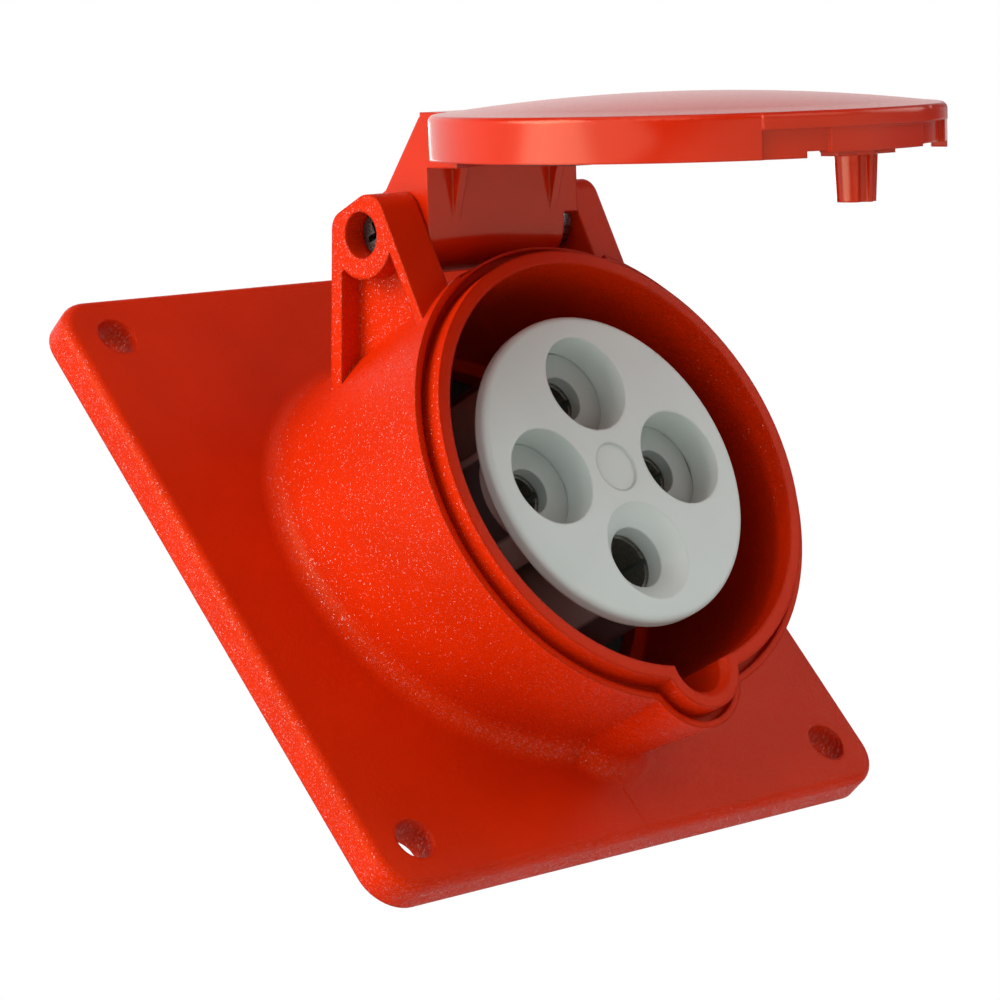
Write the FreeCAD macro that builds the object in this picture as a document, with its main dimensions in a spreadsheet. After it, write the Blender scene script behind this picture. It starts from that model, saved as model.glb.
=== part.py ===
import FreeCAD, Part
import math
import os
import Sketcher

# Angled panel socket. X runs to the right seen from the front, Z is up and the front faces -Y.
# The origin is the middle of the flange's back face, which lies in the plane Y = 0.
# The barrel leans forward and down, so its pieces are drawn in a frame of their own:
# local X is X, local Y is "up across the barrel" and local Z runs out along the barrel, with 0 at the rim.

doc = FreeCAD.newDocument("panel_socket")
sheet = doc.addObject("Spreadsheet::Sheet", "dims")

DIMS = [
    # flange plate
    ("plate_width", 84.6, "flange width"),
    ("plate_height", 87.4, "flange height"),
    ("plate_thick", 4.3, "flange thickness"),
    ("plate_corner", 5.0, "flange corner radius"),
    ("hole_inset_wide", 6.8, "hole centre from the side of the flange"),
    ("hole_inset_high", 6.2, "hole centre from the top or bottom of the flange"),
    ("screw_hole", 2.6, "flange hole radius"),
    # barrel
    ("tilt", 15.7, "lean of the barrel, degrees"),
    ("rim_reach", 32.55, "rim from the back face along the barrel"),
    ("axis_rise", 0.3, "height at which the barrel axis leaves the back face"),
    ("bore_rad", 26.0, "inside of the collar"),
    ("lip_rad", 27.65, "outside of the front lip"),
    ("ring_rad", 29.6, "outside of the ring behind the lip"),
    ("ring_drop", 1.9, "ring face behind the rim"),
    ("groove_rad", 28.75, "outer wall of the groove"),
    ("groove_deep", 3.2, "groove floor behind the rim"),
    ("foot_rad", 28.0, "barrel radius at its rear end"),
    ("barrel_tail", 44.0, "rear end of the barrel behind the rim"),
    ("relief_rad", 29.05, "ring radius between the ears"),
    ("relief_left", 13.4, "left end of the relief"),
    ("relief_right", 11.6, "right end of the relief"),
    ("ledge_rad", 24.2, "inside of the ledge that stops the insert"),
    ("ledge_front", 27.5, "front of the ledge behind the rim"),
    ("ledge_back", 30.0, "back of the ledge behind the rim"),
    # keyway
    ("key_drop", 25.6, "keyway centre below the barrel axis"),
    ("key_rad", 3.7, "keyway radius"),
    ("key_deep", 20.0, "keyway length behind the rim"),
    ("key_flare", 4.5, "keyway mouth radius"),
    ("key_lip_rad", 5.9, "lip radius round the keyway"),
    ("key_groove_rad", 6.9, "groove radius round the keyway"),
    ("key_ring_rad", 7.75, "ring radius round the keyway"),
    ("key_boss_rad", 5.7, "boss radius at the flange"),
    # hinge
    ("pin_up", 35.35, "hinge line above the barrel axis"),
    ("pin_back", 8.85, "hinge line behind the rim"),
    ("ear_left_out", 19.6, "outer face of the left ear"),
    ("ear_left_in", 13.75, "inner face of the left ear"),
    ("ear_right_in", 12.0, "inner face of the right ear"),
    ("ear_right_out", 16.6, "outer face of the right ear"),
    ("ear_front", 3.9, "front face of the ears behind the rim"),
    ("ear_top", 39.4, "top of the ears above the barrel axis"),
    ("ear_recess", 3.0, "depth of the recess in the ear webs"),
    ("boss_rad", 5.3, "boss round the hinge hole"),
    ("head_hole", 2.8, "hole for the screw head"),
    ("head_sink", 2.7, "depth of the screw head under the ear face"),
    ("shank_rad", 1.6, "hinge screw shank radius"),
    ("head_rad", 2.55, "hinge screw head radius"),
    ("head_thick", 1.8, "hinge screw head height"),
    ("spring_leg", 7.85, "length of the spring's leg"),
    # lid
    ("lid_open", 63.1, "lid angle from closed in the rest pose, degrees"),
    ("lid_reach", 35.1, "lid centre from the hinge line"),
    ("lid_rad", 29.85, "lid radius"),
    ("lid_top", 14.3, "lid edge above the hinge line, measured square to the lid"),
    ("dome_rise", 1.9, "rise of the lid's domed face over its edge"),
    ("lid_plate", 2.5, "lid plate thickness"),
    ("skirt_low", 9.15, "skirt edge above the hinge line"),
    ("skirt_in", 28.0, "inside of the skirt"),
    ("skirt_slot", 9.88, "edge of the skirt at the keyway"),
    ("finger_rad", 30.2, "finger lip radius"),
    ("finger_thick", 1.9, "finger lip thickness"),
    ("finger_half", 31.0, "half angle of the finger lip, degrees"),
    ("recess_rad", 29.2, "skirt radius under the finger lip"),
    ("pad_rad", 29.75, "radius of the pad at the keyway"),
    ("pad_half", 7.7, "half width of the pad"),
    ("pad_low", 9.66, "lower edge of the pad above the hinge line"),
    ("tab_half", 4.8, "half width of the post's tab"),
    ("tab_low", 9.1, "lower edge of the tab above the hinge line"),
    ("knuckle_rad", 5.35, "knuckle radius"),
    ("arm_left", 13.5, "left face of the arm"),
    ("arm_right", 11.6, "right face of the arm"),
    ("roof_low", 7.7, "underside of the arm's root above the hinge line"),
    ("knuckle_right", 9.2, "right end of the knuckle"),
    ("pin_bore", 1.66, "bore of the knuckle"),
    ("post_reach", 25.45, "key post from the lid centre"),
    ("post_rad", 2.2, "key post radius"),
    ("post_low", 3.88, "key post end above the hinge line"),
    ("gusset_thick", 1.1, "gusset thickness"),
    ("seal_in", 25.7, "lid seal inner radius"),
    ("seal_out", 27.6, "lid seal outer radius"),
    # insert
    ("face_drop", 1.6, "insert face behind the rim"),
    ("disc_rad", 19.8, "insert disc radius"),
    ("disc_thick", 1.9, "insert disc thickness"),
    ("pitch_rad", 10.85, "contact circle radius"),
    ("cup_rad", 6.05, "counterbore radius"),
    ("cup_deep", 4.7, "counterbore depth"),
    ("entry_rad", 2.9, "phase entry hole radius"),
    ("cone_rad", 6.2, "earth lead-in radius"),
    ("cone_deep", 2.3, "earth lead-in depth"),
    ("earth_entry", 3.85, "earth entry hole radius"),
    ("mark_rad", 3.07, "centre mark radius"),
    ("mark_deep", 0.3, "centre mark depth"),
    ("tower_rad", 7.2, "tower radius"),
    ("flange_rad", 25.7, "insert base and carrier radius"),
    ("base_front", 30.1, "insert base behind the rim"),
    ("base_back", 33.1, "back of the insert base behind the rim"),
    ("carrier_back", 41.0, "back of the carrier behind the rim"),
    # contacts
    ("sleeve_front", 8.2, "phase sleeve front behind the rim"),
    ("sleeve_out", 3.6, "phase sleeve radius"),
    ("sleeve_in", 2.55, "phase sleeve bore radius"),
    ("earth_front", 6.6, "earth sleeve front behind the rim"),
    ("earth_out", 4.7, "earth sleeve radius"),
    ("earth_in", 3.55, "earth sleeve bore radius"),
    ("sleeve_deep", 18.0, "sleeve bore depth"),
    ("slot_wide", 0.8, "sleeve slot width"),
    ("slot_deep", 12.0, "sleeve slot length"),
    ("spring_thick", 0.45, "sleeve spring thickness"),
    ("spring_wide", 3.0, "sleeve spring width"),
    ("spring_back", 4.0, "sleeve spring behind the sleeve front"),
    ("block_side", 8.6, "terminal block side"),
    ("block_long", 10.0, "terminal block length"),
    ("wire_rad", 2.2, "wire hole radius"),
    ("wire_deep", 8.0, "wire hole depth"),
    ("wire_screw", 1.7, "terminal screw radius"),
    # fixings and seals
    ("fix_x", 22.4, "carrier screw position"),
    ("fix_rad", 1.5, "carrier screw radius"),
    ("fix_boss", 3.0, "screw boss radius"),
    ("fix_front", 23.5, "front of the screw bosses behind the rim"),
    ("gasket_in", 32.0, "panel gasket inner radius"),
    ("gasket_out", 35.0, "panel gasket outer radius"),
    ("gasket_thick", 1.4, "panel gasket thickness"),
]

sheet.set("A1", "name")
sheet.set("B1", "value")
sheet.set("C1", "meaning")
for line, (alias, value, note) in enumerate(DIMS, start=2):
    sheet.set("A%d" % line, alias)
    sheet.set("B%d" % line, str(value))
    sheet.set("C%d" % line, note)
    sheet.setAlias("B%d" % line, alias)
doc.recompute()

V = FreeCAD.Vector
ACROSS = FreeCAD.Rotation(V(0, 1, 0), 90)


def dims_text(text):
    """Turns bare alias names in a formula into references to the sheet."""
    out = text
    for alias, _, _ in sorted(DIMS, key=lambda row: -len(row[0])):
        parts = out.split(alias)
        rebuilt = parts[0]
        for after in parts[1:]:
            before_ok = not rebuilt or not (rebuilt[-1].isalnum() or rebuilt[-1] in "_.")
            after_ok = not after or not (after[0].isalnum() or after[0] == "_")
            rebuilt += ("dims." + alias if before_ok and after_ok else alias) + after
        out = rebuilt
    return out


def read(text):
    """Present value of a formula, for the places that pick edges by position."""
    names = {alias: float(sheet.get(alias)) for alias, _, _ in DIMS}
    total = 0.0
    for part in text.replace("-", "+-").split("+"):
        part = part.strip()
        if part:
            sign = -1.0 if part.startswith("-") else 1.0
            key = part.lstrip("-").strip()
            total += sign * (names[key] if key in names else float(key))
    return total


def bind(thing, **formulas):
    for prop, text in formulas.items():
        thing.setExpression(prop.replace("__", "."), dims_text(text))


def put(thing, x="0", y="0", z="0", turn=None):
    if turn is not None:
        thing.Placement = FreeCAD.Placement(V(0, 0, 0), turn)
    for axis, text in zip("xyz", (x, y, z)):
        if text != "0":
            thing.setExpression("Placement.Base." + axis, dims_text(text))
    return thing


def cylinder(name, radius, height, x="0", y="0", z="0", turn=None):
    """Round bar from z upwards, or from x rightwards with turn=ACROSS."""
    bar = doc.addObject("Part::Cylinder", name)
    bind(bar, Radius=radius, Height=height)
    return put(bar, x, y, z, turn)


def cone(name, low, high, height, x="0", y="0", z="0"):
    body = doc.addObject("Part::Cone", name)
    bind(body, Radius1=low, Radius2=high, Height=height)
    return put(body, x, y, z)


def block(name, wide, deep, high, x="0", y="0", z="0", turn=None):
    body = doc.addObject("Part::Box", name)
    bind(body, Length=wide, Width=deep, Height=high)
    return put(body, x, y, z, turn)


def fuse(name, *things):
    joined = doc.addObject("Part::MultiFuse", name)
    joined.Shapes = list(things)
    joined.Refine = True
    return joined


def cut(name, base, *tools):
    tool = tools[0] if len(tools) == 1 else fuse(name + "_tools", *tools)
    left = doc.addObject("Part::Cut", name)
    left.Base = base
    left.Tool = tool
    left.Refine = True
    return left


def common(name, first, second):
    both = doc.addObject("Part::Common", name)
    both.Base = first
    both.Tool = second
    return both


def rounded(name, base, radius, wanted):
    """Rounds the edges of base that wanted(edge) picks."""
    doc.recompute()
    picked = [i for i, edge in enumerate(base.Shape.Edges, start=1) if wanted(edge)]
    if not picked:
        raise RuntimeError("no edge to round for " + name)
    body = doc.addObject("Part::Fillet", name)
    body.Base = base
    body.Edges = [(i, radius, radius) for i in picked]
    return body


def outline(name, corners, turn, height, at="0", axis="x"):
    """Closed sketch through the corners, each bound to formulas, pushed out by height."""
    pic = doc.addObject("Sketcher::SketchObject", name + "_sketch")
    count = len(corners)
    start = [V(read_any(a), read_any(b), 0) for a, b in corners]
    for i in range(count):
        pic.addGeometry(Part.LineSegment(start[i], start[(i + 1) % count]), False)
    for i in range(count):
        pic.addConstraint(Sketcher.Constraint("Coincident", i, 2, (i + 1) % count, 1))
    for i, (a, b) in enumerate(corners):
        side = pic.addConstraint(Sketcher.Constraint("DistanceX", -1, 1, i, 1, start[i].x))
        pic.setExpression("Constraints[%d]" % side, dims_text(a))
        rise = pic.addConstraint(Sketcher.Constraint("DistanceY", -1, 1, i, 1, start[i].y))
        pic.setExpression("Constraints[%d]" % rise, dims_text(b))
    pic.Placement = FreeCAD.Placement(V(0, 0, 0), turn)
    if at != "0":
        pic.setExpression("Placement.Base." + axis, dims_text(at))
    body = doc.addObject("Part::Extrusion", name)
    body.Base = pic
    body.DirMode = "Normal"
    body.Solid = True
    bind(body, LengthFwd=height)
    return body


def read_any(text):
    return read(text)


def on_barrel(thing, spin=None):
    """Puts a piece drawn in the barrel's frame where the barrel is."""
    turn = FreeCAD.Rotation(V(1, 0, 0), 90 + read("tilt"))
    thing.Placement = FreeCAD.Placement(V(0, 0, 0), turn)
    thing.setExpression("Placement.Rotation.Angle", "90 deg + dims.tilt * 1 deg")
    thing.setExpression("Placement.Base.y", "-dims.rim_reach * cos(dims.tilt * 1 deg)")
    thing.setExpression("Placement.Base.z", "dims.axis_rise - dims.rim_reach * sin(dims.tilt * 1 deg)")
    return thing


def on_lid(thing):
    """Puts a piece drawn round the hinge line, lid closed, where the open lid is."""
    turn = FreeCAD.Rotation(V(1, 0, 0), 90 + read("tilt") - read("lid_open"))
    thing.Placement = FreeCAD.Placement(V(0, 0, 0), turn)
    thing.setExpression("Placement.Rotation.Angle", "90 deg + dims.tilt * 1 deg - dims.lid_open * 1 deg")
    thing.setExpression(
        "Placement.Base.y",
        "(dims.pin_back - dims.rim_reach) * cos(dims.tilt * 1 deg) - dims.pin_up * sin(dims.tilt * 1 deg)",
    )
    thing.setExpression(
        "Placement.Base.z",
        "dims.axis_rise + (dims.pin_back - dims.rim_reach) * sin(dims.tilt * 1 deg)"
        " + dims.pin_up * cos(dims.tilt * 1 deg)",
    )
    return thing


# flange plate: a sketched rounded rectangle with four holes, pushed forward from the back face
plate_body = doc.addObject("PartDesign::Body", "plate_body")
plate_pic = plate_body.newObject("Sketcher::SketchObject", "plate_pic")
plane = [o for o in plate_body.Origin.OriginFeatures if o.Name.startswith("XZ_Plane")][0]
plate_pic.AttachmentSupport = [(plane, "")]
plate_pic.MapMode = "FlatFace"
half_w = read("plate_width") / 2
half_h = read("plate_height") / 2
corners = [V(-half_w, -half_h, 0), V(half_w, -half_h, 0), V(half_w, half_h, 0), V(-half_w, half_h, 0)]
for i in range(4):
    plate_pic.addGeometry(Part.LineSegment(corners[i], corners[(i + 1) % 4]), False)
for i in range(4):
    plate_pic.addConstraint(Sketcher.Constraint("Coincident", i, 2, (i + 1) % 4, 1))
plate_pic.addConstraint(Sketcher.Constraint("Horizontal", 0))
plate_pic.addConstraint(Sketcher.Constraint("Horizontal", 2))
plate_pic.addConstraint(Sketcher.Constraint("Vertical", 1))
plate_pic.addConstraint(Sketcher.Constraint("Vertical", 3))
plate_pic.addConstraint(Sketcher.Constraint("Symmetric", 0, 1, 2, 1, -1, 1))
wide = plate_pic.addConstraint(Sketcher.Constraint("DistanceX", 0, 1, 0, 2, 2 * half_w))
high = plate_pic.addConstraint(Sketcher.Constraint("DistanceY", 1, 1, 1, 2, 2 * half_h))
plate_pic.setExpression("Constraints[%d]" % wide, "dims.plate_width")
plate_pic.setExpression("Constraints[%d]" % high, "dims.plate_height")
plate_pad = plate_body.newObject("PartDesign::Pad", "plate_pad")
plate_pad.Profile = plate_pic
plate_pad.setExpression("Length", "dims.plate_thick")
doc.recompute()
if plate_body.Shape.BoundBox.YMax > 0.5:
    plate_pad.Reversed = True
    doc.recompute()
upright = [
    "Edge%d" % i
    for i, e in enumerate(plate_pad.Shape.Edges, start=1)
    if e.BoundBox.YLength > read("plate_thick") - 0.1 and e.BoundBox.XLength < 0.1 and e.BoundBox.ZLength < 0.1
]
plate_round = plate_body.newObject("PartDesign::Fillet", "plate_round")
plate_round.Base = (plate_pad, upright)
plate_round.setExpression("Radius", "dims.plate_corner")
doc.recompute()
front = [
    "Edge%d" % i
    for i, e in enumerate(plate_round.Shape.Edges, start=1)
    if abs(e.CenterOfMass.y + read("plate_thick")) < 0.05
]
plate_soft = plate_body.newObject("PartDesign::Fillet", "plate_soft")
plate_soft.Base = (plate_round, front)
plate_soft.Radius = 1.3
doc.recompute()

# barrel skin with its base fillet
skin = cone("barrel_skin", "foot_rad", "ring_rad", "barrel_tail - ring_drop", z="-barrel_tail")
key_boss = cone("key_boss", "key_boss_rad", "key_ring_rad", "20", y="-key_drop", z="-20 - ring_drop")
barrel = on_barrel(fuse("barrel_rough", skin, key_boss))
rough = fuse("shell_rough", plate_body, barrel)
FOOT_CLEAR = 4.3


def at_foot(edge):
    """The edges where the barrel and its boss leave the front of the flange."""
    front_y = -read("plate_thick")
    return all(abs(edge.valueAt(p).y - front_y) < 0.02 for p in edge.ParameterRange) and (
        abs(edge.CenterOfMass.y - front_y) < 0.02
        and abs(edge.CenterOfMass.x) < half_w - FOOT_CLEAR
        and abs(edge.CenterOfMass.z) < half_h - FOOT_CLEAR
        and edge.Length > 3.0
        and edge.Curve.TypeId != "Part::GeomLine"
        and not edge.isClosed()
    )


shell = rounded("shell_soft", rough, 2.6, at_foot)

# collar: groove, lip and keyway, cut and built in the barrel's frame
groove = on_barrel(
    fuse(
        "groove_cut",
        cylinder("groove_round", "groove_rad", "groove_deep + 1", z="-groove_deep"),
        cylinder("groove_key", "key_groove_rad", "groove_deep + 1", y="-key_drop", z="-groove_deep"),
    )
)
relief = on_barrel(
    cut(
        "relief_cut",
        block("relief_box", "relief_left + relief_right", "16", "7.2", x="-relief_left", y="20", z="-6.2"),
        cylinder("relief_core", "relief_rad", "12", z="-9"),
    )
)
lip = on_barrel(
    fuse(
        "lip",
        cylinder("lip_round", "lip_rad", "7", z="-7"),
        cylinder("lip_key", "key_lip_rad", "7", y="-key_drop", z="-7"),
    )
)


# ears: sketched outline in the plane across the hinge, recessed on the outer side
def ear(side, inner, thick, outer_low):
    corners = [
        ("18.0", "-ear_front"),
        ("ear_top", "-ear_front"),
        ("ear_top", "-ear_front - 8.6"),
        ("18.0", "-ear_front - 21.1"),
    ]
    pocket = [
        ("17.0", "-ear_front - 1.4"),
        ("33.0", "-ear_front - 1.4"),
        ("33.0", "-ear_front - 10.2"),
        ("17.0", "-ear_front - 19.4"),
    ]
    plane_turn = FreeCAD.Rotation(V(1, 1, 1), 120)
    sharp = outline("ear_" + side, corners, plane_turn, thick, at=inner)
    nose = -read("ear_front")

    def top_front(edge):
        mid = edge.CenterOfMass
        return edge.BoundBox.XLength > 1 and abs(mid.y - read("ear_top")) < 0.01 and abs(mid.z - nose) < 0.01

    def top_back(edge):
        mid = edge.CenterOfMass
        return edge.BoundBox.XLength > 1 and abs(mid.y - read("ear_top")) < 0.01 and mid.z < nose - 5

    body = rounded("ear_round_" + side, rounded("ear_nose_" + side, sharp, 2.9, top_front), 2.4, top_back)
    hollow = outline("ear_hollow_" + side, pocket, plane_turn, "ear_recess + 1", at=outer_low)
    open_ear = cut("ear_open_" + side, body, hollow)
    start = "-ear_left_out" if side == "left" else "ear_right_in"
    boss = common(
        "ear_boss_" + side,
        cylinder("ear_disc_" + side, "boss_rad", thick, x=start, y="pin_up", z="-pin_back", turn=ACROSS),
        body,
    )
    return fuse("ear_done_" + side, open_ear, boss)


ear_left = ear("left", "-ear_left_out", "ear_left_out - ear_left_in", "-ear_left_out - 1")
ear_right = ear("right", "ear_right_in", "ear_right_out - ear_right_in", "ear_right_out - ear_recess")
ears = on_barrel(fuse("ears", ear_left, ear_right))

bore = on_barrel(
    fuse(
        "bore_cut",
        cylinder("bore_front", "bore_rad", "ledge_front + 2", z="-ledge_front"),
        cylinder("bore_ledge", "ledge_rad", "ledge_back", z="-ledge_back - 1"),
        cylinder("bore_rear", "bore_rad", "barrel_tail - ledge_back + 10", z="-barrel_tail - 10"),
        cylinder("key_cut", "key_rad", "key_deep + 2", y="-key_drop", z="-key_deep"),
        cone("key_mouth", "key_rad", "key_flare + 1.0", "key_flare - key_rad + 1.0", y="-key_drop",
             z="key_rad - key_flare"),
        cylinder("head_way", "head_hole", "head_sink + head_thick + 3", x="-ear_left_out - 3", y="pin_up",
                 z="-pin_back", turn=ACROSS),
        cylinder("shank_way", "pin_bore", "ear_left_out + 15.6", x="-ear_left_out", y="pin_up",
                 z="-pin_back", turn=ACROSS),
    )
)
screw_holes = fuse(
    "screw_holes",
    *[
        cylinder("screw_hole_%d%d" % (i, j), "screw_hole", "plate_thick + 4",
                 x=("-" if i else "") + "(plate_width / 2 - hole_inset_wide)", y="2",
                 z=("-" if j else "") + "(plate_height / 2 - hole_inset_high)",
                 turn=FreeCAD.Rotation(V(1, 0, 0), 90))
        for i in (0, 1)
        for j in (0, 1)
    ]
)
gasket_seat = cut(
    "gasket_seat",
    cylinder("seat_out", "gasket_out + 0.05", "gasket_thick + 1", y="1",
             turn=FreeCAD.Rotation(V(1, 0, 0), 90), z="axis_rise"),
    cylinder("seat_in", "gasket_in - 0.05", "gasket_thick + 3", y="2",
             turn=FreeCAD.Rotation(V(1, 0, 0), 90), z="axis_rise"),
)

housing_a = cut("housing_grooved", shell, groove, relief)
housing_b = fuse("housing_full", housing_a, lip, ears)
bosses = on_barrel(
    common(
        "fix_bosses",
        fuse(
            "fix_pair",
            cylinder("fix_boss_r", "fix_boss", "ledge_back - fix_front", x="fix_x", z="-ledge_back"),
            cylinder("fix_boss_l", "fix_boss", "ledge_back - fix_front", x="-fix_x", z="-ledge_back"),
        ),
        cylinder("fix_trim", "bore_rad + 0.5", "30", z="-40"),
    )
)
housing_c = cut("housing_bored", housing_b, bore, screw_holes, gasket_seat)
fix_ways = on_barrel(
    fuse(
        "fix_ways",
        cylinder("fix_way_r", "fix_rad", "ledge_back - fix_front - 1.2", x="fix_x", z="-ledge_back"),
        cylinder("fix_way_l", "fix_rad", "ledge_back - fix_front - 1.2", x="-fix_x", z="-ledge_back"),
    )
)
housing = cut("housing", fuse("housing_bossed", housing_c, bosses), fix_ways)
doc.recompute()

# lid, drawn closed round the hinge line: local Y is up, local Z is out
disc_plain = cylinder("lid_disc_plain", "lid_rad", "lid_top - skirt_low", y="-lid_reach", z="skirt_low")
disc = rounded("lid_disc", disc_plain, 0.7, lambda e: abs(e.CenterOfMass.z - read("lid_top")) < 0.01)
under = cylinder("lid_under", "skirt_in", "lid_top - lid_plate", y="-lid_reach")


def lip_wedge(name, low, high):
    """Sector of the lid round its front, as wide as the finger lip."""
    wedge = doc.addObject("Part::Cylinder", name)
    bind(wedge, Radius="finger_rad + 5", Height=high + " - (" + low + ")")
    wedge.setExpression("Angle", "dims.finger_half * 2")
    wedge.Placement = FreeCAD.Placement(V(0, 0, 0), FreeCAD.Rotation(V(0, 0, 1), 270 - read("finger_half")))
    wedge.setExpression("Placement.Rotation.Angle", "270 deg - dims.finger_half * 1 deg")
    wedge.setExpression("Placement.Base.y", "-dims.lid_reach")
    wedge.setExpression("Placement.Base.z", dims_text(low))
    return wedge


finger_plain = cylinder("finger_plain", "finger_rad", "finger_thick", y="-lid_reach", z="lid_top - finger_thick")
finger_ring = rounded("finger_ring", finger_plain, 0.7, lambda e: abs(e.CenterOfMass.z - read("lid_top")) < 0.01)
finger = common("finger_lip", finger_ring, lip_wedge("finger_wedge", "lid_top - finger_thick - 1", "lid_top + 1"))
lip_recess = cut(
    "lip_recess",
    lip_wedge("recess_wedge", "skirt_low - 1", "lid_top - finger_thick"),
    cylinder("recess_core", "recess_rad", "lid_top", y="-lid_reach"),
)
pad = common(
    "lid_pad",
    cylinder("pad_disc", "pad_rad", "lid_top - finger_thick - pad_low + 0.3", y="-lid_reach", z="pad_low"),
    block("pad_bound", "2 * pad_half", "6", "lid_top", x="-pad_half", y="-lid_reach - pad_rad - 1"),
)
dome_ball = doc.addObject("Part::Sphere", "dome_ball")
dome_ball.setExpression(
    "Radius", "((dims.lid_rad - 1) * (dims.lid_rad - 1) + dims.dome_rise * dims.dome_rise) / (2 * dims.dome_rise)"
)
dome_ball.setExpression("Placement.Base.y", "-dims.lid_reach")
dome_ball.setExpression("Placement.Base.z", "dims.lid_top + dims.dome_rise - dome_ball.Radius / 1 mm")
dome = common(
    "lid_dome",
    dome_ball,
    cylinder("dome_bound", "lid_rad - 1", "dome_rise + 1.5", y="-lid_reach", z="lid_top - 0.5"),
)
lid_band = cut(
    "lid_band",
    disc,
    lip_recess,
    block("lid_key_gap", "27.2", "12", "skirt_slot", x="-10.2", y="-lid_reach - lid_rad - 4"),
)
lid_shell = cut("lid_shell", fuse("lid_outer", lid_band, finger, dome, pad), under)
arm_turn = FreeCAD.Rotation(V(1, 1, 1), 120)
arm = outline(
    "lid_arm",
    [
        ("-knuckle_rad", "0"),
        ("-knuckle_rad", "lid_top"),
        ("-4.9", "lid_top"),
        ("-4.1", "lid_top - 0.7"),
        ("3.73", "2.61"),
        ("1.0", "0"),
    ],
    arm_turn,
    "arm_left + arm_right",
    at="-arm_left",
)
arm_roof = block("arm_roof", "arm_left + arm_right", "8", "lid_top - roof_low", x="-arm_left",
                 y="-knuckle_rad - 7", z="roof_low")
coil_room = cylinder("coil_room", "knuckle_rad + 0.1", "8", x="knuckle_right", turn=ACROSS)
knuckle = cylinder("knuckle", "knuckle_rad", "arm_left + knuckle_right", x="-arm_left", turn=ACROSS)
gusset_l = outline(
    "gusset_left",
    [("-4.0", "0.5"), ("-knuckle_rad", "1.2"), ("-knuckle_rad - 2.2", "skirt_low + 0.5"), ("-4.0", "skirt_low + 0.5")],
    arm_turn, "gusset_thick", at="-9.4",
)
gusset_r = outline(
    "gusset_right",
    [("-4.0", "0.9"), ("-knuckle_rad", "1.6"), ("-knuckle_rad - 2.2", "skirt_low + 0.5"), ("-4.0", "skirt_low + 0.5")],
    arm_turn, "gusset_thick", at="6.9",
)
post = cone("key_post", "post_rad", "post_rad + 0.4", "lid_top - lid_plate - post_low + 0.5",
            y="-lid_reach - post_reach", z="post_low")
post_tab = block("post_tab", "2 * tab_half", "2.6", "lid_top - lid_plate - tab_low + 0.4", x="-tab_half",
                 y="-lid_reach - post_reach - 1.7", z="tab_low")
flutes = fuse(
    "post_flutes",
    cylinder("flute_l", "0.7", "6.2", x="-0.95", y="-lid_reach - post_reach - post_rad + 0.15", z="post_low - 1"),
    cylinder("flute_r", "0.7", "6.2", x="0.95", y="-lid_reach - post_reach - post_rad + 0.15", z="post_low - 1"),
)
lid_cavity = cylinder("lid_cavity", "skirt_in", "lid_top - lid_plate - skirt_low + 4", y="-lid_reach",
                      z="skirt_low - 4")
lid_arm_part = cut("lid_arm_part", fuse("lid_arm_rough", arm, arm_roof), coil_room, lid_cavity)
post_done = cut("post_done", post, flutes)
lid_rough = fuse("lid_rough", lid_shell, lid_arm_part, knuckle, gusset_l, gusset_r, post_done, post_tab)
lid = on_lid(
    cut(
        "lid",
        lid_rough,
        cylinder("knuckle_bore", "pin_bore", "arm_left + arm_right + 4", x="-arm_left - 2", turn=ACROSS),
    )
)

# seal under the lid, open where the key post stands
lid_seal = on_lid(
    cut(
        "lid_seal",
        cylinder("seal_disc", "seal_out", "lid_top - lid_plate - pin_back - 0.1", y="-lid_reach", z="pin_back + 0.1"),
        cylinder("seal_hole", "seal_in", "8", y="-lid_reach", z="pin_back - 1"),
        block("seal_gap", "2 * tab_half + 0.6", "8", "8", x="-tab_half - 0.3", y="-lid_reach - post_reach - 4",
              z="pin_back - 1"),
    )
)

# hinge screw with a cross recess, and the coil spring beside the knuckle
shank = cylinder("hinge_shank", "shank_rad", "ear_left_out - head_sink - head_thick + 15.4",
                 x="-ear_left_out + head_sink + head_thick", y="pin_up", z="-pin_back", turn=ACROSS)
head = cylinder("hinge_head", "head_rad", "head_thick", x="-ear_left_out + head_sink", y="pin_up",
                z="-pin_back", turn=ACROSS)
cross = fuse(
    "hinge_cross",
    block("cross_a", "1.2", "0.7", "3.4", x="-ear_left_out + head_sink - 0.1", y="pin_up - 0.35",
          z="-pin_back - 1.7"),
    block("cross_b", "1.2", "3.4", "0.7", x="-ear_left_out + head_sink - 0.1", y="pin_up - 1.7",
          z="-pin_back - 0.35"),
)
hinge_screw = on_barrel(cut("hinge_screw", fuse("hinge_bar", shank, head), cross))

coil = cut(
    "coil",
    cylinder("coil_outer", "4.0", "2.25"),
    cylinder("coil_inner", "3.2", "4", z="-1"),
    *[
        cut("turn_line_%d" % i, cylinder("turn_out_%d" % i, "4.5", "0.12", z=at),
            cylinder("turn_in_%d" % i, "3.7", "0.12", z=at))
        for i, at in enumerate(("0.69", "1.44"))
    ],
)
coil_leg = cylinder("coil_leg", "0.34", "spring_leg", x="3.61", z="0.35", turn=FreeCAD.Rotation(V(1, 0, 0), 90))
spring_parts = put(fuse("spring_parts", coil, coil_leg), "knuckle_right + 0.3", "pin_up", "-pin_back",
                   FreeCAD.Rotation(V(0, 1, 0), 90))
lid_spring = doc.addObject("Part::Compound", "lid_spring")
lid_spring.Links = [spring_parts]
on_barrel(lid_spring)
doc.recompute()

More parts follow.
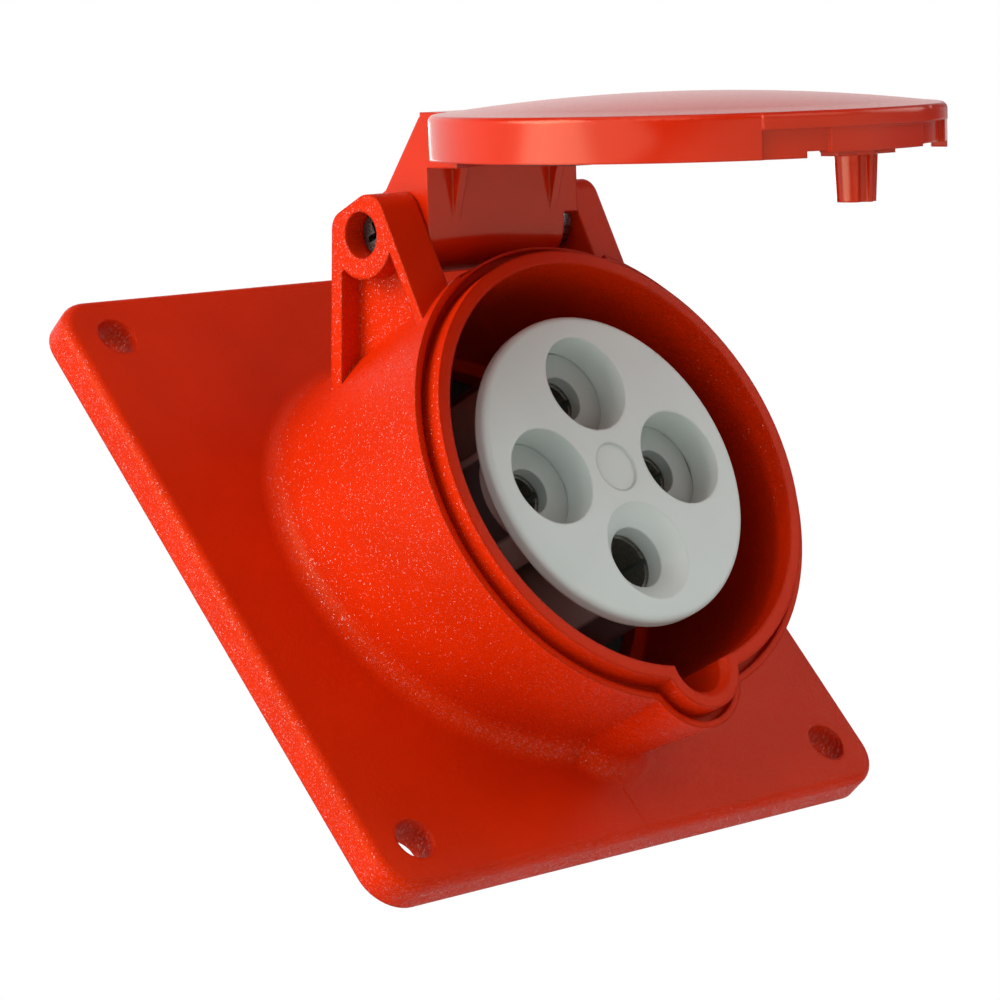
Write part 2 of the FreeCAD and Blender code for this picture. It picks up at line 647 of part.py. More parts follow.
# contact insert: a face with three counterbores and the earth lead-in, a tube behind each hole and a base flange
SPOTS = {
    "l1": ("-pitch_rad", "0"),
    "l2": ("0", "pitch_rad"),
    "l3": ("pitch_rad", "0"),
    "earth": ("0", "-pitch_rad"),
}
PHASES = ("l1", "l2", "l3")
face = cylinder("face_disc", "disc_rad", "disc_thick", z="-face_drop - disc_thick")
face_soft = rounded("face_soft", face, 0.8, lambda e: abs(e.CenterOfMass.z + read("face_drop")) < 0.01)
FLOOR = "-face_drop - cup_deep"
face_body = fuse(
    "face_body",
    face_soft,
    *[
        cylinder("face_boss_" + k, "tower_rad", "cup_deep - disc_thick / 2", x=x, y=y, z=FLOOR)
        for k, (x, y) in SPOTS.items()
    ],
)
cups = [cylinder("cup_" + k, "cup_rad", "cup_deep + 7", x=SPOTS[k][0], y=SPOTS[k][1],
                 z=FLOOR + " - 2") for k in PHASES]
earth_way = [
    cone("earth_cone", "earth_entry", "cone_rad", "cone_deep", y="-pitch_rad", z="-face_drop - cone_deep"),
    cylinder("earth_mouth", "cone_rad", "3", y="-pitch_rad", z="-face_drop"),
    cylinder("earth_hole", "earth_entry", "20", y="-pitch_rad", z="-face_drop - cone_deep - 10"),
]
mark = cylinder("centre_mark", "mark_rad", "mark_deep + 1", z="-face_drop - mark_deep")
contact_insert = on_barrel(cut("contact_insert", face_body, *cups, *earth_way, mark))

towers = {}
for k, (x, y) in SPOTS.items():
    room = "earth_out + 0.65" if k == "earth" else "sleeve_out + 0.6"
    way = "earth_entry" if k == "earth" else "entry_rad"
    towers[k] = on_barrel(
        cut(
            "pin_tower_" + k,
            cylinder("tube_" + k, "tower_rad", "base_front - face_drop - cup_deep - 0.04", x=x, y=y,
                     z="-base_front + 0.02"),
            cylinder("way_" + k, way, "20", x=x, y=y, z="-sleeve_front - 1"),
            cylinder("room_" + k, room, "40", x=x, y=y,
                     z=("-earth_front + 2" if k == "earth" else "-sleeve_front + 0.2") + " - 40"),
        )
    )
insert_fix = [
    cylinder("insert_fix_r", "fix_rad + 0.2", "20", x="fix_x", z="-base_back - 5"),
    cylinder("insert_fix_l", "fix_rad + 0.2", "20", x="-fix_x", z="-base_back - 5"),
]
insert_base = on_barrel(
    cut(
        "insert_base",
        cylinder("insert_flange", "flange_rad", "base_back - base_front", z="-base_back"),
        *[
            cylinder("base_way_" + k, "earth_out + 0.05" if k == "earth" else "sleeve_out + 0.05", "20", x=x, y=y,
                     z="-base_back - 5")
            for k, (x, y) in SPOTS.items()
        ],
        *insert_fix,
    )
)

# terminal carrier behind the insert
carrier_ways = [cylinder("carrier_way_" + k, ("earth_out" if k == "earth" else "sleeve_out") + " + 0.05",
                         "30", x=SPOTS[k][0], y=SPOTS[k][1], z="-carrier_back - 5") for k in SPOTS]
carrier_fix = [
    cylinder("carrier_fix_r", "fix_rad + 0.2", "30", x="fix_x", z="-carrier_back - 5"),
    cylinder("carrier_fix_l", "fix_rad + 0.2", "30", x="-fix_x", z="-carrier_back - 5"),
]
carrier_seats = [
    cylinder("fix_seat_r", "fix_rad + 1.45", "5", x="fix_x", z="-carrier_back + 2 - 5"),
    cylinder("fix_seat_l", "fix_rad + 1.45", "5", x="-fix_x", z="-carrier_back + 2 - 5"),
]
terminal_carrier = on_barrel(
    cut(
        "terminal_carrier",
        cylinder("carrier_disc", "flange_rad - 0.1", "carrier_back - base_back", z="-carrier_back"),
        *carrier_ways, *carrier_fix, *carrier_seats,
    )
)

# contacts: slotted sleeve, shank through the carrier and a square terminal behind it
contacts = {}
springs = {}
clamps = {}
screws = []
BACK = "-carrier_back - block_long"
MIDDLE = "-carrier_back - block_long / 2"
for k, (x, y) in SPOTS.items():
    outer = "earth_out" if k == "earth" else "sleeve_out"
    inner = "earth_in" if k == "earth" else "sleeve_in"
    begins = "earth_front" if k == "earth" else "sleeve_front"
    bar = fuse(
        "bar_" + k,
        cylinder("sleeve_" + k, outer, "carrier_back - " + begins, x=x, y=y, z="-carrier_back"),
        block("terminal_" + k, "block_side", "block_side", "block_long",
              x=x + " - block_side / 2", y=y + " - block_side / 2", z=BACK),
    )
    bored = cut(
        "bored_" + k,
        bar,
        cylinder("pin_way_" + k, inner, "sleeve_deep + 5", x=x, y=y, z="-" + begins + " - sleeve_deep"),
        cylinder("wire_way_" + k, "wire_rad", "wire_deep + 5", x=x, y=y, z=BACK + " - 5"),
        block("slot_a_" + k, "slot_wide", outer + " * 2 + 4", "slot_deep + 5",
              x=x + " - slot_wide / 2", y=y + " - " + outer + " - 2", z="-" + begins + " - slot_deep"),
        block("slot_b_" + k, outer + " * 2 + 4", "slot_wide", "slot_deep + 5",
              x=x + " - " + outer + " - 2", y=y + " - slot_wide / 2", z="-" + begins + " - slot_deep"),
    )

    # the wire screw comes in from the side that faces away from the barrel axis
    upright_spot = x == "0"
    minus = "-" if k in ("l1", "earth") else ""
    swing = -90 if k in ("l1", "l2") else 90
    radial_turn = FreeCAD.Rotation(V(1, 0, 0) if upright_spot else V(0, 1, 0), swing)

    def radial(name, radius, length, start):
        at = minus + "(pitch_rad + " + start + ")"
        if upright_spot:
            return cylinder(name, radius, length, y=at, z=MIDDLE, turn=radial_turn)
        return cylinder(name, radius, length, x=at, z=MIDDLE, turn=radial_turn)

    def across(name, wide, thick, high, centre):
        """Block centred on the screw line, thick along it."""
        at = minus + "(pitch_rad + " + centre + ") - (" + thick + ") / 2"
        low = MIDDLE + " - (" + high + ") / 2"
        side = "-(" + wide + ") / 2"
        if upright_spot:
            return block(name, wide, thick, high, x=side, y=at, z=low)
        return block(name, thick, wide, high, x=at, y=side, z=low)

    contacts[k] = on_barrel(
        cut("contact_" + k, bored, radial("screw_way_" + k, "wire_screw + 0.03", "block_side", "0"))
    )
    ring_at = "-" + begins + " - spring_back - spring_wide"
    springs[k] = on_barrel(
        cut(
            "sleeve_spring_" + k,
            cylinder("spring_out_" + k, outer + " + 0.02 + spring_thick", "spring_wide", x=x, y=y, z=ring_at),
            cylinder("spring_in_" + k, outer + " + 0.02", "spring_wide + 2", x=x, y=y, z=ring_at + " - 1"),
            block("spring_gap_" + k, "2", "1.2", "spring_wide + 2", x=x + " + " + outer + " - 1",
                  y=y + " - 0.6", z=ring_at + " - 1"),
        )
    )
    clamps[k] = on_barrel(
        common(
            "wire_clamp_" + k,
            across("clamp_plate_" + k, "2.4", "0.7", "5.0", "wire_rad - 0.7"),
            cylinder("clamp_trim_" + k, "wire_rad - 0.05", "block_long", x=x, y=y, z=BACK),
        )
    )
    screws.append(
        cut(
            "wire_screw_" + k,
            fuse(
                "screw_bar_" + k,
                radial("screw_shank_" + k, "wire_screw", "block_side / 2 - wire_rad + 0.95", "wire_rad - 0.35"),
                radial("screw_head_" + k, "wire_screw + 0.7", "1.7", "block_side / 2 + 0.6"),
            ),
            across("screw_slot_" + k, "0.7", "1.0", "7.0", "block_side / 2 + 2.5"),
        )
    )
terminal_screws = doc.addObject("Part::Compound", "terminal_screws")
terminal_screws.Links = screws
on_barrel(terminal_screws)

# carrier screws: through carrier and insert into the bosses of the housing
holders = []
for side, at in (("r", "fix_x"), ("l", "-fix_x")):
    holders.append(
        cut(
            "carrier_screw_" + side,
            fuse(
                "holder_bar_" + side,
                cylinder("holder_shank_" + side, "fix_rad", "carrier_back - 2 - fix_front - 2.0", x=at,
                         z="-carrier_back + 2"),
                cylinder("holder_head_" + side, "fix_rad + 1.3", "1.9", x=at, z="-carrier_back + 0.1"),
            ),
            block("holder_slot_" + side, "0.8", "7", "1.0", x=at + " - 0.4", y="-3.5", z="-carrier_back"),
        )
    )
carrier_screws = doc.addObject("Part::Compound", "carrier_screws")
carrier_screws.Links = holders
on_barrel(carrier_screws)

# gasket in the back of the flange
AWAY = FreeCAD.Rotation(V(1, 0, 0), 90)
panel_gasket = cut(
    "panel_gasket",
    cylinder("gasket_disc", "gasket_out", "gasket_thick", turn=AWAY, z="axis_rise"),
    cylinder("gasket_hole", "gasket_in", "gasket_thick + 2", y="1", turn=AWAY, z="axis_rise"),
)
doc.recompute()

PIECES = {
    "housing": housing,
    "lid": lid,
    "lid_seal": lid_seal,
    "hinge_screw": hinge_screw,
    "lid_spring": lid_spring,
    "panel_gasket": panel_gasket,
    "contact_insert": contact_insert,
    "insert_base": insert_base,
    "terminal_carrier": terminal_carrier,
    "terminal_screws": terminal_screws,
    "carrier_screws": carrier_screws,
}
for k in SPOTS:
    PIECES["pin_tower_" + k] = towers[k]
    PIECES["contact_" + k] = contacts[k]
    PIECES["sleeve_spring_" + k] = springs[k]
    PIECES["wire_clamp_" + k] = clamps[k]

for thing in doc.Objects:
    if "Invalid" in thing.State or "Error" in thing.State:
        raise RuntimeError("object not made: %s %s" % (thing.Name, thing.State))
SEVERAL = {"terminal_screws": 4, "carrier_screws": 2}
for node, thing in PIECES.items():
    thing.Label = node
    shape = thing.Shape
    if shape.isNull() or not shape.isValid():
        raise RuntimeError("bad shape: " + node)
    if len(shape.Solids) != SEVERAL.get(node, 1):
        raise RuntimeError("%s has %d solids" % (node, len(shape.Solids)))

os.makedirs("parts", exist_ok=True)
for node, thing in PIECES.items():
    thing.Shape.exportStep("parts/%s.step" % node)
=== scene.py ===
import math

import bpy
import numpy as np
from mathutils import Matrix


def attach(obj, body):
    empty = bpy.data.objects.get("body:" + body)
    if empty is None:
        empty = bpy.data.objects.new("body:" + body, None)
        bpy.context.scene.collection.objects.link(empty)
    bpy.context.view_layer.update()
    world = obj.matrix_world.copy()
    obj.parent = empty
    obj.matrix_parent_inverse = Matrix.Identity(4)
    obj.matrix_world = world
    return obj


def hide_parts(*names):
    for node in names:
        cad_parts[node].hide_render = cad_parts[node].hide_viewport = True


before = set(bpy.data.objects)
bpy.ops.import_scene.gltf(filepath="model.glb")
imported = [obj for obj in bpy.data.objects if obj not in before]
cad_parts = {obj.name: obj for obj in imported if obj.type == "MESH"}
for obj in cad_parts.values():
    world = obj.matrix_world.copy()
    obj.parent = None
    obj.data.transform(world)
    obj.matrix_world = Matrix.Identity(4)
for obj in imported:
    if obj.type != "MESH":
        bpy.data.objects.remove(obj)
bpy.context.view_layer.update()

bl_info = {
    "name": "Angled panel socket",
    "version": (1, 0, 0),
    "blender": (4, 5, 0),
    "location": "View3D > Sidebar > Socket",
    "description": "Dresses the moulded panel socket: mouldings, seals, metal parts and a plain studio",
    "category": "Object",
}

MM = 0.001
PER_METRE_MM = 1000.0

# the photo's view: the camera stands in front, to the left and below, and looks up at the open lid
VIEW_PLACE = (-0.3154577, -0.2934750, -0.1773499)
VIEW_RIGHT = (0.7188936, -0.4918646, -0.4911835)
VIEW_DOWN = (-0.1102931, 0.6169533, -0.7792330)
VIEW_AHEAD = (0.6863144, 0.6143598, 0.3892745)
VIEW_LENS = 134.194
SENSOR_MM = 36.0
CLIP_NEAR, CLIP_FAR = 0.01, 20.0

# lamps: edge, aim and tints, the places of the two strong ones, and the weak ones with their powers in watts
LAMP_SIDE = 0.6
LAMP_AIM = (0.0, -0.02, 0.0)
WARM = (1.0, 0.98, 0.95)
COOL = (0.97, 0.985, 1.0)
KEY_PLACE = (-0.80, -0.10, 0.60)
SIDE_PLACE = (-1.00, 0.25, 0.10)
FILL_LAMPS = (("left lamp", (-0.95, -0.30, 0.05), 1.75), ("top lamp", (0.0, -0.50, 0.85), 0.85),
              ("right lamp", (0.80, -0.60, 0.10), 2.1), ("front lamp", (0.20, -1.00, 0.10), 1.9),
              ("corner lamp", (-0.60, -0.75, 0.35), 1.9), ("back lamp", (0.60, 1.00, 0.50), 5.0))

# room: white, and the Y of a reflection's direction where the dim side ends and where the white wall begins
WHITE = (1.0, 1.0, 1.0, 1.0)
WALL_FROM, WALL_TO = 0.0, 0.55

# floor: far below, so that the camera looks up past it; its two tones, where they lie in their noise, the
# noise's scale, and how much paler than the lamps leave it the camera sees it
FLOOR_HEIGHT, FLOOR_HALF = -0.45, 3.0
FLOOR_DEEP, FLOOR_PALE = "#E4E4E3", "#EAEAE9"
FLOOR_DEEP_AT, FLOOR_PALE_AT = 0.3, 0.7
FLOOR_CLOUDS_PER_METRE = 2.0
FLOOR_ROUGH = 0.85
FLOOR_LIFT = 0.62

# moulded plastic: refraction, clouds of pigment about 14 mm wide, where the two tones of a cloud lie in its
# noise, and the part of a grain's noise that its roughness follows
PLASTIC_IOR = 1.53
FLOW_PER_METRE = 70.0
FLOW_DEEP, FLOW_PALE = 0.32, 0.68
GRAIN_LOW, GRAIN_HIGH = 0.35, 0.65

# single polished grains of the eroded housing: their width, how far they lean, their roughness and weight,
# the share of that weight on faces that look straight forward, and the normal's Y up to which that share
# holds and from which the whole weight does
GLINT_MM = 0.15
GLINT_LEAN = 0.9
GLINT_ROUGH = 0.18
GLINT_WEIGHT = 0.6
GLINT_FRONT_SHARE = 0.1
GLINT_FRONT_Y, GLINT_SIDE_Y = -0.97, -0.80

# brushed metal: streaks 2.5 mm long, which a stretch makes longer, and 0.25 mm wide, their depth, where the
# two tones of a streak lie in its noise, and how far its roughness swings
STREAKS_ALONG, STREAKS_ACROSS = 400.0, 4000.0
STREAK_DEPTH_MM = 0.004
STREAK_DEEP, STREAK_PALE = 0.3, 0.7
ROUGH_SWING = 0.1

# lid: hinge line, the direction its outer face looks in at rest, the direction of its arm, how far along the
# arm the skirt is cut away for the key post, and that edge's height over the hinge line
LID_HINGE_MM = (0.0, -32.3815, 27.9179)
LID_UP = (0.0, -0.6768759, 0.7360971)
LID_OUT = (0.0, -0.7360971, -0.6768759)
NOTCH_FROM_MM = 44.0
NOTCH_EDGE_MM = 9.95

# insert: its axis, a point on it, how far from it the tubes' outer walls and their painted shade begin, and
# the width of that change
INSERT_AXIS = (0.0, -0.9626917, -0.2706004)
INSERT_CENTRE_MM = (0.0, -0.0784, 0.2780)
TUBE_SHADE_FROM_MM = 16.6
TUBE_SHADE_RAMP_MM = 0.3

# parting line of the flange: a bead of half-round section straight down from the foot of the keyway boss, the
# points along and across it, how square its ends are, and how deep its edges stand in the flange
BEAD_PATH_MM = ((-1.2, -4.3, -36.0), (-1.2, -4.3, -42.4))
BEAD_ALONG, BEAD_ACROSS = 40, 9
BEAD_FADE = 16
BEAD_SUNK_MM = 0.01

# corners of a node's loose triangles are one point when they are this close, in metres
SAME_POINT = 2e-7

HOUSING_RED = "housing red, eroded"


def linear(code):
    """sRGB colour given as a hex string, turned into the linear RGBA that the shaders take."""
    parts = np.array([int(code[i:i + 2], 16) for i in (1, 3, 5)]) / 255.0
    low = parts / 12.92
    high = ((parts + 0.055) / 1.055) ** 2.4
    return tuple(float(v) for v in np.where(parts <= 0.04045, low, high)) + (1.0,)


def node(tree, kind, place, links=None, stops=(), **values):
    """Adds one shader node, sets its properties, its sockets and a ramp's stops, and links its inputs."""
    made = tree.nodes.new(kind)
    made.location = place
    for name, value in values.items():
        if hasattr(made, name) and name not in made.inputs:
            setattr(made, name, value)
        else:
            made.inputs[name.replace("_", " ")].default_value = value
    if stops:
        for point, (at, colour) in zip(made.color_ramp.elements, stops):
            point.position = at
            point.color = colour
    for name, source in (links or {}).items():
        tree.links.new(source, made.inputs[name])
    return made


def fresh(name):
    """Empty material with an output, and the point on the object in metres as its pattern's coordinate."""
    mat = bpy.data.materials.new(name)
    mat.use_nodes = True
    tree = mat.node_tree
    tree.nodes.clear()
    out = node(tree, "ShaderNodeOutputMaterial", (900, 0))
    where = node(tree, "ShaderNodeTexCoord", (-1100, 0))
    return mat, tree, out, where.outputs["Object"]


def moulded(name, colour, deep, grain_mm, grain_depth, rough_low, rough_high, edge_mm, gloss_level=0.5,
            gloss_tint="#FFFFFF", glint_share=0.0):
    """Moulded plastic: a mottled body colour, an eroded grain in the bump, and edges rounded by edge_mm.

    One fine noise, grain_mm wide, is the grain that the eroded tool leaves. It moves bump and roughness.
    The slow noise moves the colour between the body colour and the deep one, as the pigment's flow does.
    With a glint_share, that share of the small cells is smooth and tilted, so that single grains flash."""
    mat, tree, out, at = fresh(name)
    flow = node(tree, "ShaderNodeTexNoise", (-800, 300), {"Vector": at}, Scale=FLOW_PER_METRE, Detail=3.0,
                Roughness=0.5)
    body = node(tree, "ShaderNodeValToRGB", (-560, 300), {"Fac": flow.outputs["Fac"]},
                stops=((FLOW_DEEP, linear(deep)), (FLOW_PALE, linear(colour))))
    grain = node(tree, "ShaderNodeTexNoise", (-800, -40), {"Vector": at}, Scale=PER_METRE_MM / grain_mm,
                 Detail=2.0, Roughness=0.6)
    soft = node(tree, "ShaderNodeBevel", (-560, -520), samples=4, Radius=edge_mm * MM)
    bump = node(tree, "ShaderNodeBump", (-240, -240),
                {"Height": grain.outputs["Fac"], "Normal": soft.outputs["Normal"]},
                Strength=1.0, Distance=grain_depth * MM)
    gloss = node(tree, "ShaderNodeMapRange", (-240, 60), {"Value": grain.outputs["Fac"]},
                 From_Min=GRAIN_LOW, From_Max=GRAIN_HIGH, To_Min=rough_low, To_Max=rough_high)
    skin = node(tree, "ShaderNodeBsdfPrincipled", (300, 0),
                {"Base Color": body.outputs["Color"], "Roughness": gloss.outputs[0],
                 "Normal": bump.outputs[0]},
                IOR=PLASTIC_IOR, Specular_IOR_Level=gloss_level, Specular_Tint=linear(gloss_tint))
    if glint_share:
        glints(tree, at, skin, bump.outputs[0], glint_share)
    tree.links.new(skin.outputs[0], out.inputs["Surface"])
    return mat


def glints(tree, at, skin, normal, share):
    """Small cells, of which the given share is polished and leans its own way off the surface.

    Each cell's random colour, less a half, is the direction it leans in. The flange's flat front comes from a
    finer face of the tool, so faces that look straight forward get hardly any."""
    cells = node(tree, "ShaderNodeTexVoronoi", (-800, -760), {"Vector": at}, Scale=PER_METRE_MM / GLINT_MM)
    draw = node(tree, "ShaderNodeTexWhiteNoise", (-600, -760), {"Vector": cells.outputs["Color"]})
    pick = node(tree, "ShaderNodeMath", (-420, -760), {0: draw.outputs["Value"]}, operation="GREATER_THAN")
    pick.inputs[1].default_value = 1.0 - share
    lean = node(tree, "ShaderNodeVectorMath", (-420, -940), {0: cells.outputs["Color"]}, operation="SUBTRACT")
    lean.inputs[1].default_value = (0.5, 0.5, 0.5)
    push = node(tree, "ShaderNodeVectorMath", (-240, -940), {0: lean.outputs[0]}, operation="SCALE",
                Scale=GLINT_LEAN)
    both = node(tree, "ShaderNodeVectorMath", (-60, -760), {0: normal, 1: push.outputs[0]}, operation="ADD")
    unit = node(tree, "ShaderNodeVectorMath", (100, -760), {0: both.outputs[0]}, operation="NORMALIZE")
    facing = node(tree, "ShaderNodeTexCoord", (-800, -1140))
    split = node(tree, "ShaderNodeSeparateXYZ", (-600, -1140), {"Vector": facing.outputs["Normal"]})
    front = node(tree, "ShaderNodeMapRange", (-420, -1140), {"Value": split.outputs["Y"]},
                 From_Min=GLINT_FRONT_Y, From_Max=GLINT_SIDE_Y,
                 To_Min=GLINT_FRONT_SHARE * GLINT_WEIGHT, To_Max=GLINT_WEIGHT)
    weight = node(tree, "ShaderNodeMath", (100, -1000), {0: pick.outputs[0], 1: front.outputs[0]},
                  operation="MULTIPLY")
    tree.links.new(weight.outputs[0], skin.inputs["Coat Weight"])
    tree.links.new(unit.outputs[0], skin.inputs["Coat Normal"])
    skin.inputs["Coat Roughness"].default_value = GLINT_ROUGH


def housing_red(look):
    """Red moulding with a coarse sparkling eroded grain: the light catches single grains on the barrel."""
    return moulded(HOUSING_RED, look.housing_colour, look.housing_deep, grain_mm=look.grain,
                   grain_depth=0.028, rough_low=0.38, rough_high=0.52, edge_mm=0.6, gloss_level=0.16,
                   gloss_tint=look.red_sheen, glint_share=0.26)


def lid_red(look):
    """Red moulding from a finer tool: smoother than the housing, so the lid shows soft pale reflections."""
    return moulded("lid red, satin", look.lid_colour, look.lid_deep, grain_mm=0.30, grain_depth=0.0006,
                   rough_low=0.17, rough_high=0.22, edge_mm=0.35, gloss_tint=look.lid_sheen)


def insert_grey(look):
    """Light grey thermoset with a fine even tooth, which keeps the face flat-looking and its edges soft."""
    return moulded("insert grey, fine tooth", look.insert_colour, look.insert_deep, grain_mm=0.22,
                   grain_depth=0.004, rough_low=0.34, rough_high=0.46, edge_mm=0.4)


def tube_grey(look):
    """The insert's grey, deepened by painted shade for the tubes round the sleeves in the cups' shadow.

    Past the wall distance from the insert's axis, where the outer walls stand in the recess, painted shade
    darkens them.
    That distance is the length of the point's part across the axis: point - (point . axis) axis - centre."""
    mat = moulded("tube grey, fine tooth", look.tube_colour_painted_shade, look.tube_deep_painted_shade, grain_mm=0.22, grain_depth=0.004,
                  rough_low=0.40, rough_high=0.50, edge_mm=0.3)
    tree = mat.node_tree
    skin = next(n for n in tree.nodes if n.bl_idname == "ShaderNodeBsdfPrincipled")
    body = skin.inputs["Base Color"].links[0].from_socket
    where = node(tree, "ShaderNodeTexCoord", (-1100, 700))
    along = node(tree, "ShaderNodeVectorMath", (-900, 700), {0: where.outputs["Object"]},
                 operation="DOT_PRODUCT")
    along.inputs[1].default_value = INSERT_AXIS
    foot = node(tree, "ShaderNodeVectorMath", (-700, 700), {"Scale": along.outputs["Value"]},
                operation="SCALE")
    foot.inputs[0].default_value = INSERT_AXIS
    across = node(tree, "ShaderNodeVectorMath", (-500, 700), {0: where.outputs["Object"], 1: foot.outputs[0]},
                  operation="SUBTRACT")
    reach = node(tree, "ShaderNodeVectorMath", (-300, 700), {0: across.outputs[0]}, operation="DISTANCE")
    reach.inputs[1].default_value = tuple(v * MM for v in INSERT_CENTRE_MM)
    # painted shade: past the wall distance the tubes' grey turns to the dark outer-wall grey
    wall = node(tree, "ShaderNodeMapRange", (-100, 700), {"Value": reach.outputs["Value"]},
                From_Min=TUBE_SHADE_FROM_MM * MM, From_Max=(TUBE_SHADE_FROM_MM + TUBE_SHADE_RAMP_MM) * MM)
    mix = node(tree, "ShaderNodeMix", (100, 500), {0: wall.outputs[0], 6: body}, data_type="RGBA")
    mix.inputs[7].default_value = linear(look.tube_wall_painted_shade)
    tree.links.new(mix.outputs[2], skin.inputs["Base Color"])
    return mat


def base_painted_shade():
    """Thermoset base behind the insert, drawn charcoal as painted shade: the gap round the insert stays dark,
    as a deep recess does.
    """
    return moulded("base charcoal, rough", "#383838", "#2C2C2C", grain_mm=0.4, grain_depth=0.02,
                   rough_low=0.55, rough_high=0.7, edge_mm=0.3, gloss_level=0.3)


def seal_rubber(look):
    """Black moulded rubber: dull, with the faint dusty bloom of a seal."""
    return moulded("seal rubber, bloom", look.rubber_colour, "#1A1A1B", grain_mm=0.5, grain_depth=0.01,
                   rough_low=0.6, rough_high=0.8, edge_mm=0.2, gloss_level=0.4)


def plain_metal(name, colour, deep, rough, stretch):
    """Worked metal: brushed streaks along X from a stretched noise, moving tint, roughness and bump."""
    mat, tree, out, at = fresh(name)
    along = node(tree, "ShaderNodeMapping", (-900, 0), {"Vector": at},
                 Scale=(STREAKS_ALONG / stretch, STREAKS_ACROSS, STREAKS_ACROSS))
    streak = node(tree, "ShaderNodeTexNoise", (-680, 0), {"Vector": along.outputs[0]}, Scale=1.0, Detail=3.0)
    tint = node(tree, "ShaderNodeValToRGB", (-420, 160), {"Fac": streak.outputs["Fac"]},
                stops=((STREAK_DEEP, linear(deep)), (STREAK_PALE, linear(colour))))
    gloss = node(tree, "ShaderNodeMapRange", (-420, -120), {"Value": streak.outputs["Fac"]},
                 To_Min=rough - ROUGH_SWING, To_Max=rough + ROUGH_SWING)
    bump = node(tree, "ShaderNodeBump", (-120, -260), {"Height": streak.outputs["Fac"]},
                Distance=STREAK_DEPTH_MM * MM)
    skin = node(tree, "ShaderNodeBsdfPrincipled", (300, 0),
                {"Base Color": tint.outputs["Color"], "Roughness": gloss.outputs[0],
                 "Normal": bump.outputs[0]}, Metallic=1.0)
    tree.links.new(skin.outputs[0], out.inputs["Surface"])
    return mat


def added(name, data):
    """New object of the scene that holds the data."""
    thing = bpy.data.objects.new(name, data)
    bpy.context.scene.collection.objects.link(thing)
    return thing


def stand(thing, right, up, back, place):
    """Stands a lamp or a camera at place, with its own three axes given in the room's."""
    turn = np.eye(4)
    turn[:3, 0], turn[:3, 1], turn[:3, 2], turn[:3, 3] = right, up, back, place
    thing.matrix_world = Matrix(turn.tolist())


def spots_of(mesh):
    """The mesh's points as one array of rows."""
    spots = np.empty(len(mesh.vertices) * 3, np.float32)
    mesh.vertices.foreach_get("co", spots)
    return spots.reshape(-1, 3)


def joined_copy(name, source, angle):
    """A node's mesh as one skin: its loose triangles are merged and shaded smooth below the angle."""
    loose = source.data
    spots = spots_of(loose)
    keys = np.round(spots / SAME_POINT).astype(np.int64)
    _, first, back = np.unique(keys, axis=0, return_index=True, return_inverse=True)
    corners = np.empty(len(loose.loops), np.int32)
    loose.loops.foreach_get("vertex_index", corners)
    faces = back.reshape(-1)[corners].reshape(-1, 3)
    real = (faces[:, 0] != faces[:, 1]) & (faces[:, 1] != faces[:, 2]) & (faces[:, 0] != faces[:, 2])
    skin = bpy.data.meshes.new(name)
    skin.from_pydata(spots[first], [], faces[real].tolist())
    skin.update()
    skin.shade_smooth()
    skin.set_sharp_from_angle(angle=angle)
    return added(name, skin)


def half_round_bead(name, start, end, half_wide, rise):
    """Bead along a straight line on a face that looks towards -Y.

    Point(u, v) = start + u (end - start) + half_wide sin(v) X - rise cos(v) Y, v from -90 to 90 degrees, with
    both fading to nothing at the ends as sqrt(1 - (2u - 1)^BEAD_FADE), and all of it sunk by BEAD_SUNK_MM."""
    u = np.linspace(0.0, 1.0, BEAD_ALONG)[:, None]
    v = np.linspace(-math.pi / 2, math.pi / 2, BEAD_ACROSS)[None, :]
    fade = np.sqrt(np.clip(1.0 - (2.0 * u - 1.0) ** BEAD_FADE, 0.0, 1.0))
    a, b = np.array(start) * MM, np.array(end) * MM
    grid = a + u[..., None] * (b - a) + np.zeros(v.shape + (3,))
    grid[..., 0] += half_wide * MM * np.sin(v) * fade
    grid[..., 1] += -rise * MM * np.cos(v) * fade + BEAD_SUNK_MM * MM
    rows, cols = grid.shape[:2]
    at = np.arange(rows * cols).reshape(rows, cols)
    quads = np.stack([at[:-1, :-1], at[:-1, 1:], at[1:, 1:], at[1:, :-1]], -1).reshape(-1, 4)
    mesh = bpy.data.meshes.new(name)
    mesh.from_pydata(grid.reshape(-1, 3), [], quads.tolist())
    mesh.update()
    mesh.shade_smooth()
    return added(name, mesh)


def dress(names, mat):
    """Puts the material on every slot of the named nodes."""
    for name in names:
        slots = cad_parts[name].material_slots
        if not len(slots):
            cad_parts[name].data.materials.append(mat)
        for slot in slots:
            slot.material = mat


